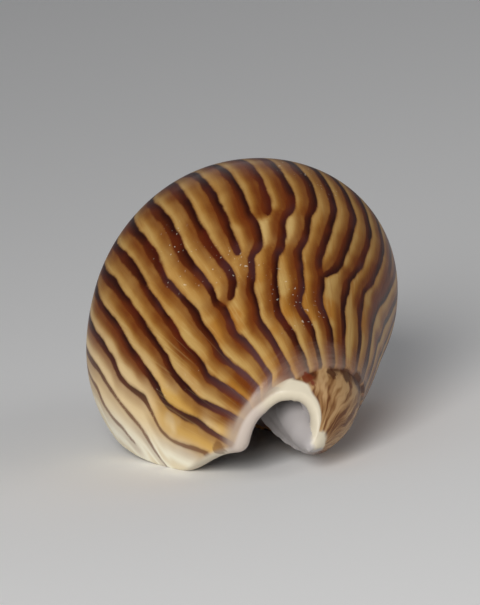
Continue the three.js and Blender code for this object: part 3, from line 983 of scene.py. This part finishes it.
# %% [markdown]
# ## Stripes
# The dark stripes have a crisp edge on the side away from the lip and a brown glow on the lip's side,
# where the pigment ran out slowly. Their edges tremble a little. Here and there glaze has clouded them to
# purple grey, and near the lip they thin to brown lines. The distances on the mesh give the plain shape.
# Noise is added to them before they are cut off, so the edge itself wanders, which a blur of the finished
# colour wouldn't do.

# %% Uneven edges
STEPS_MM = 0.4
TREMBLE_MM = 0.3
WOBBLE_MM = 0.5

near_lip = ease(behind, -48.0, -24.0)
steps = times_plus(growth_cloud(1.1, 0.12, 2.0, 0.6), STEPS_MM, -STEPS_MM / 2)
tremble = times_plus(cloud(place, 900.0, 3.0, 0.6), TREMBLE_MM, -TREMBLE_MM / 2)
wobble = times_plus(cloud(place, 380.0, 1.0), WOBBLE_MM, -WOBBLE_MM / 2)
wander = work("ADD", tremble, work("ADD", wobble, steps))
wander = product(wander, times_plus(near_lip, -0.55, 1.0))
core_edge = work("ADD", off_core, wander)
glow_way = work("ADD", off_glow, wander)
print("edges wander by up to", (STEPS_MM + TREMBLE_MM + WOBBLE_MM) / 2, "mm")

# %% Brown glow
GLOW = paint(104, 44, 6)
AMBER = paint(148, 96, 28)
NEAR_GLOW_MM = (0.05, 0.95)
FAR_GLOW_MM = (0.45, 1.3)
BARE_MM = (1.2, 2.1)  # beyond the glow the ground is at its palest
FRINGE_MM = (-0.1, 0.28)

near_glow = remainder(ease(glow_way, *NEAR_GLOW_MM))
far_glow = remainder(ease(glow_way, *FAR_GLOW_MM))
fringe = remainder(ease(core_edge, *FRINGE_MM))
glow_amount = times_plus(ease(growth_cloud(0.16, 0.16), 0.34, 0.6), 0.55, 0.45)
glow_amount = product(glow_amount, times_plus(near_lip, -0.75, 1.0))
painted = cover(product(ease(glow_way, *BARE_MM), 0.4), ground, PALE)
painted = cover(product(far_glow, glow_amount, 0.85), painted, AMBER)
painted = cover(product(fringe, 0.6, times_plus(near_lip, -0.4, 1.0)), painted, GLOW)
print("glow reaches", FAR_GLOW_MM[1], "mm from its middle")

# %% Dark cores
MAROON = paint(38, 4, 0)
RED_BROWN = paint(72, 20, 4)
BLOOM = paint(66, 34, 34)
CLOUDED = paint(100, 68, 68)
THIN_LINE = paint(104, 60, 30)
CORE_EDGE_MM = (-0.12, 0.08)

core = remainder(ease(core_edge, *CORE_EDGE_MM))
dark = cover(ease(growth_cloud(0.3, 0.3, 1.0), 0.46, 0.7), MAROON, RED_BROWN)
bloom = product(ease(cloud(place, 260.0, 2.0), 0.5, 0.68), ease(along, 0.3, 0.55), 0.8)
dark = cover(bloom, dark, BLOOM)
clouded_zone = product(ease(along, 0.66, 0.8), window(behind, -120.0, -80.0, -30.0, -10.0))
dark = cover(product(clouded_zone, 0.7), dark, CLOUDED)
dark = cover(ease(behind, -38.0, -24.0), dark, THIN_LINE)
core_strength = times_plus(ease(behind, -40.0, -10.0), -0.35, 1.0)
painted = cover(product(core, core_strength), painted, dark)
painted = cover(product(near_glow, glow_amount, 0.9), painted, GLOW)
print("cores fade out over", round(CORE_EDGE_MM[1] - CORE_EDGE_MM[0], 2), "mm")

# %% [markdown]
# ## First whorls, scratches, pits and painted glints
# The first whorls are honey coloured and almost bare, as the young snail made hardly any pigment. Sand has
# left faint scratches along the growth and a few pale pits, and the same pale specks are painted glints of
# light on the glaze. Pits could be real hollows, but at a tenth of a millimetre they only show as colour.

# %% First whorls, wear and painted glints
HONEY = paint(204, 166, 112)
FIRST_WHORLS_FROM = (-1.8, -2.9)  # turns
HONEY_SHARE = 0.85
SCRATCH_SHARE = 0.12
PIT_AND_GLINT_SHARE = 0.3

scratches = ease(growth_cloud(4.0, 0.12, 1.0), 0.6, 0.72)
scratch_zone = product(window(behind, -85.0, -60.0, -20.0, -8.0), window(along, 0.5, 0.6, 0.8, 0.84))
painted = cover(product(scratches, scratch_zone, SCRATCH_SHARE), painted, PALE)
painted = cover(product(ease(turns, *FIRST_WHORLS_FROM), HONEY_SHARE), painted, HONEY)
# Pale specks: small pits, and painted glints of light on the glaze.
pits_and_glints = product(ease(cloud(place, 4200.0, 0.0), 0.74, 0.82), ease(cloud(place, 120.0, 1.0), 0.56, 0.66))
painted = cover(product(pits_and_glints, PIT_AND_GLINT_SHARE), painted, WHITE)
print("honey colour from", -FIRST_WHORLS_FROM[0], "turns behind the lip")

# %% [markdown]
# ## Fasciole
# The band beside the notch is built of old notch edges. It is tan with a net of brown marks that run
# towards the tip, and blotched with dark brown along the ridge. The marks are growth lines squeezed
# together, so streaks of noise that are bent by a second noise look like them, where plain noise would
# give round spots.

# %% Fasciole
FASCIOLE_TAN = paint(138, 98, 58)
FASCIOLE_PALE = paint(178, 142, 98)
STREAK = paint(92, 48, 20)
BLOTCH = paint(66, 28, 10)
FASCIOLE_FROM = (0.862, 0.868)
STREAKS_PER_DEGREE = 0.075
STREAKS_ALONG = 13.0
SWAY = 1.8

on_fasciole = ease(along, *FASCIOLE_FROM)
sway = times_plus(cloud(place, 480.0, 2.0, 0.55), SWAY, work("MULTIPLY", behind, STREAKS_PER_DEGREE))
streak_run = flat_cloud(sway, work("MULTIPLY", along, STREAKS_ALONG), 2.0, 0.6)
fasciole = cover(ease(streak_run, 0.44, 0.6), FASCIOLE_TAN, FASCIOLE_PALE)
fasciole = cover(product(ease(streak_run, 0.47, 0.38), 0.85), fasciole, STREAK)
near_ridge = remainder(ease(along, 0.872, 0.91))
far_round = ease(behind, -40.0, -70.0)
blotches = product(ease(cloud(place, 620.0, 1.0), 0.4, 0.56), near_ridge, far_round)
fasciole = cover(product(blotches, 0.9), fasciole, BLOTCH)
painted = cover(on_fasciole, painted, fasciole)
print("fasciole from", FASCIOLE_FROM[0], "of the growth line")

# %% [markdown]
# ## Glaze, rim and inside
# The mantle has glazed the notch's edge and the aperture: the stripes drown in a grey violet glaze near
# the notch, the rim is ivory and the inside is a smooth grey lilac. The rim could have a material of its
# own, but the real change from paint to glaze has no edge, so it is one finish whose layers fade into each
# other.

# %% Veil near the notch
VEIL = paint(178, 158, 140)
VEIL_BAND_ALONG = (0.76, 0.8, 0.84, 0.86)
VEIL_BAND_MM = (5.0, 2.0)

veil_streaks = growth_cloud(0.3, 2.2, 3.0, 0.6)
by_notch = ease(behind, -75.0, -25.0)
veil_reach = times_plus(veil_streaks, 0.06, times_plus(by_notch, 0.03, along))
veil = product(ease(veil_reach, 0.82, 0.91), times_plus(by_notch, 0.35, 0.35), remainder(on_fasciole))
painted = cover(veil, painted, VEIL)
veil_band = ease(times_plus(veil_streaks, 2.0, from_edge_mm), *VEIL_BAND_MM)
painted = cover(product(veil_band, window(along, *VEIL_BAND_ALONG), 0.8), painted, VEIL)
print("veil within", VEIL_BAND_MM[0], "mm of the notch's left edge")

# %% Ivory rim
IVORY = paint(212, 201, 178)
GREY_RIM = paint(196, 182, 170)
IVORY_BAND_MM = (1.9, 0.9)
WIDER_IVORY_ALONG = (0.84, 0.862, 0.89, 0.93)
RIDGE_HIGHLIGHT_ALONG = (0.857, 0.8595, 0.861, 0.864)
LEFT_LEG_ALONG = (0.76, 0.79, 0.82, 0.845)
RIM_OVER = (0.0, 0.2)  # of the way from the outside to the inside

ivory_reach = times_plus(window(along, *WIDER_IVORY_ALONG), -1.7, from_edge_mm)
ivory_band = product(ease(ivory_reach, *IVORY_BAND_MM), ease(along, 0.83, 0.87))
painted = cover(ivory_band, painted, IVORY)
# A thin ivory line along the ridge by the notch is a painted highlight: light glinting on the glazed ridge.
ridge_highlight = product(window(along, *RIDGE_HIGHLIGHT_ALONG), by_notch, 0.6)
painted = cover(ridge_highlight, painted, IVORY)
rim = cover(window(along, *LEFT_LEG_ALONG), IVORY, GREY_RIM)
colour = cover(ease(inside, *RIM_OVER), painted, rim)
print("ivory band", IVORY_BAND_MM[0], "mm wide behind the rim")

# %% Lilac inside
LILAC = paint(174, 168, 166)
INSIDE_OVER = (0.55, 0.95)
CALLUS_TURNS_BACK = -40.0  # degrees that the callus stands further round beside the fasciole
IN_APERTURE_BEHIND = (-318.0, -345.0)
IN_APERTURE_ALONG = (0.3, 0.36)

colour = cover(ease(inside, *INSIDE_OVER), colour, LILAC)
callus_edge = times_plus(ease(along, 0.87, 0.91), CALLUS_TURNS_BACK, behind)
in_aperture = product(ease(callus_edge, *IN_APERTURE_BEHIND), ease(along, *IN_APERTURE_ALONG))
colour = cover(in_aperture, colour, LILAC)
print("the callus covers the last whorl but one from", IN_APERTURE_BEHIND[0], "degrees on")

# %% [markdown]
# ## Spots
# A few marks are this shell's own: dark blotches on the fasciole's ridge, a red brown one beside the
# notch, a brown one at the lip's edge, and the tip worn to ivory. Noise can't put a mark in one place. A
# distance from a point in the object's coordinates can, with a little noise so that the outline isn't
# round.

# %% Spots
RED_SPOT = paint(106, 42, 18)
BLOTCHES = (
    ((1.1, -37.9, 4.2), 0.42), ((2.4, -37.1, 3.6), 0.6), ((3.5, -36.2, 2.8), 0.55), ((4.3, -35.3, 1.4), 0.5),
)  # middle and radius in millimetres, on the shell as it grew
RED_SPOTS = (((-1.0, -38.7, 4.4), 0.45), ((-0.8, -39.0, 4.1), 0.32))
WORN_END = ((-0.5, -41.6, 0.5), 0.8)
LIP_PATCH = ((-7.5, -37.6, -1.7), 0.6)
UNEVEN_MM = 0.8


def spot(middle, radius):
    """1 inside a round spot and 0 outside it, with a soft, uneven edge: the smooth step of the distance plus
    noise, from just outside the radius to just inside it."""
    node = tree.nodes.new("ShaderNodeVectorMath")
    node.operation = "DISTANCE"
    feed(node.inputs[0], place)
    node.inputs[1].default_value = tuple((turn_to_rest @ np.array(middle) + shift) * MM)
    uneven = times_plus(cloud(place, 1500.0, 2.0), UNEVEN_MM * MM, -UNEVEN_MM * MM / 2)
    return ease(work("ADD", node.outputs["Value"], uneven), radius * 1.3 * MM, radius * 0.75 * MM)


colour = cover(spot(*WORN_END), colour, IVORY)
for blotch in BLOTCHES:
    colour = cover(product(spot(*blotch), 0.85), colour, BLOTCH)
for red_spot in RED_SPOTS:
    colour = cover(product(spot(*red_spot), 0.9), colour, RED_SPOT)
colour = cover(product(spot(*LIP_PATCH), 0.6), colour, THIN_LINE)
feed(surface.inputs["Base Color"], colour)
print(len(BLOTCHES) + len(RED_SPOTS) + 2, "spots")

# %% [markdown]
# ## Gloss and relief
# Growth lines are fine ridges along the growth front, a few hundredths of a millimetre high. As geometry
# they would take millions of triangles, so they are bump. The gloss is that of glazed porcelain, a little
# duller where the shell has been rubbed: a low coat and a low specular level keep the dark stripes deep.

# %% Gloss
ROUGHNESS_FROM = 0.26
ROUGHNESS_RANGE = 0.2
COAT = 0.1
COAT_ROUGHNESS = 0.12
SPECULAR_LEVEL = 0.25
INDEX = 1.4
BUMP_STRENGTH = 0.25
BUMP_HEIGHT = 0.06 * MM

growth_ridges = growth_cloud(9.0, 0.25)
rubbed = cloud(place, 330.0, 4.0, 0.6)
feed(surface.inputs["Roughness"], times_plus(rubbed, ROUGHNESS_RANGE, ROUGHNESS_FROM))
surface.inputs["Coat Weight"].default_value = COAT
surface.inputs["Coat Roughness"].default_value = COAT_ROUGHNESS
surface.inputs["Specular IOR Level"].default_value = SPECULAR_LEVEL
surface.inputs["IOR"].default_value = INDEX
bump = tree.nodes.new("ShaderNodeBump")
bump.inputs["Strength"].default_value = BUMP_STRENGTH
bump.inputs["Distance"].default_value = BUMP_HEIGHT
feed(bump.inputs["Height"], work("ADD", growth_ridges, work("MULTIPLY", rubbed, 0.6)))
feed(surface.inputs["Normal"], bump.outputs[0])
whole.materials.clear()
whole.materials.append(finish)
print(len(tree.nodes), "nodes in the shell's finish")

# %% [markdown]
# ## Camera
# The photograph looks at the front end, from above and a little to the left. The camera was fitted to the
# outline in the growing frame, so it is turned with the shell into its resting pose. It could be moved by
# hand until the picture fits, with a shift of the lens for the rest. Here it looks straight down its own
# axis, with no shift: it is aimed at what stands at the middle of the picture.

# %% View
PHOTO_SIZE = (480, 605)
VIEW_AZIMUTH = np.radians(-15.16)
VIEW_ELEVATION = np.radians(26.92)
VIEW_ROLL = np.radians(3.15)
VIEW_DISTANCE = 350.0
VIEW_TARGET = np.array([0.0, -24.0, 0.0])
PIXELS_PER_MM = 12.72
TARGET_PIXEL = (272.81, 341.33)


def camera_axes(azimuth, elevation, turn):
    """Right, up and back directions of a camera; back points from the target to the camera."""
    back = np.array([
        np.sin(azimuth) * np.cos(elevation), -np.cos(azimuth) * np.cos(elevation), np.sin(elevation)
    ])
    right = np.cross([0, 0, 1], back)
    right /= np.linalg.norm(right)
    up = np.cross(back, right)
    return np.cos(turn) * right + np.sin(turn) * up, -np.sin(turn) * right + np.cos(turn) * up, back


right, up, back = camera_axes(VIEW_AZIMUTH, VIEW_ELEVATION, VIEW_ROLL)
focal_pixels = PIXELS_PER_MM * VIEW_DISTANCE
eye = VIEW_TARGET + back * VIEW_DISTANCE
to_middle = right * (PHOTO_SIZE[0] / 2 - TARGET_PIXEL[0]) - up * (PHOTO_SIZE[1] / 2 - TARGET_PIXEL[1])
aim = -back * focal_pixels + to_middle
aim /= np.linalg.norm(aim)
right = right - aim * (right @ aim)
right /= np.linalg.norm(right)
up = np.cross(right, aim)
print("the camera looks along", aim.round(3), "on the shell as it grew")

# %% Camera
SENSOR = 36.0
NEAREST = 0.01
FARTHEST = 10.0

camera_data = bpy.data.cameras.new("camera")
camera_data.sensor_width = SENSOR
camera_data.lens = focal_pixels / PHOTO_SIZE[1] * SENSOR
camera_data.clip_start = NEAREST
camera_data.clip_end = FARTHEST
camera = bpy.data.objects.new("camera", camera_data)
bpy.context.scene.collection.objects.link(camera)
position = (turn_to_rest @ eye + shift) * MM
camera_matrix = np.eye(4)
camera_matrix[:3, :3] = turn_to_rest @ np.stack([right, up, -aim], 1)
camera_matrix[:3, 3] = position
camera.matrix_world = Matrix(camera_matrix.tolist())
bpy.context.scene.camera = camera
print("camera at", position.round(4), "lens", round(camera_data.lens, 1))

# %% [markdown]
# ## Floor and light
# The shell lies on a plain pale floor in soft light: a broad lamp low on the left and in front, a weak one
# on the right and a weaker one behind. A picture of a studio could light it too, but three lamps show at
# once where the light comes from, and keep the glaze's highlights few and small.

# %% Floor
FLOOR_HALF = 1.5
FLOOR_COLOUR = (0.93, 0.92, 0.9, 1)
FLOOR_ROUGHNESS = 0.8

corners = [(x * FLOOR_HALF, y * FLOOR_HALF, 0) for x, y in ((-1, -1), (1, -1), (1, 1), (-1, 1))]
floor_mesh = bpy.data.meshes.new("floor")
floor_mesh.from_pydata(corners, [], [(0, 1, 2, 3)])
floor = bpy.data.objects.new("floor", floor_mesh)
bpy.context.scene.collection.objects.link(floor)
pale = bpy.data.materials.new("pale_floor")
pale.use_nodes = True
pale_surface = pale.node_tree.nodes["Principled BSDF"]
pale_surface.inputs["Base Color"].default_value = FLOOR_COLOUR
pale_surface.inputs["Roughness"].default_value = FLOOR_ROUGHNESS
floor_mesh.materials.append(pale)
print("the floor is", 2 * FLOOR_HALF, "m wide")

# %% Lights
LAMPS = (
    ("key", (-0.21, -0.45, 0.22), 0.30, 2.5),
    ("fill", (0.35, -0.25, 0.25), 0.35, 0.3),
    ("back", (0.10, 0.40, 0.35), 0.40, 0.15),
)  # name, place in metres, width in metres and power in watts
LIT_PLACE = (0, 0, 0.01)
SKY_COLOUR = (0.9, 0.93, 1.0, 1)
SKY_STRENGTH = 0.14

for name, where, size, power in LAMPS:
    lamp = bpy.data.lights.new(name, "AREA")
    lamp.shape = "DISK"
    lamp.size = size
    lamp.energy = power
    holder = bpy.data.objects.new(name, lamp)
    holder.location = where
    holder.rotation_euler = (Vector(LIT_PLACE) - Vector(where)).to_track_quat("-Z", "Y").to_euler()
    bpy.context.scene.collection.objects.link(holder)
world = bpy.data.worlds.new("soft")
world.use_nodes = True
background = world.node_tree.nodes["Background"]
background.inputs["Color"].default_value = SKY_COLOUR
background.inputs["Strength"].default_value = SKY_STRENGTH
bpy.context.scene.world = world
# The plain view shows the shell's browns as deep as the photograph has them.
bpy.context.scene.view_settings.view_transform = "Standard"
print(len(LAMPS), "lamps and an even sky")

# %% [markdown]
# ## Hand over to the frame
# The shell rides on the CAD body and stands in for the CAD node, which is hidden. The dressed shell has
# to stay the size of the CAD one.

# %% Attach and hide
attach(shell, "root")
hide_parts("volute_shell")
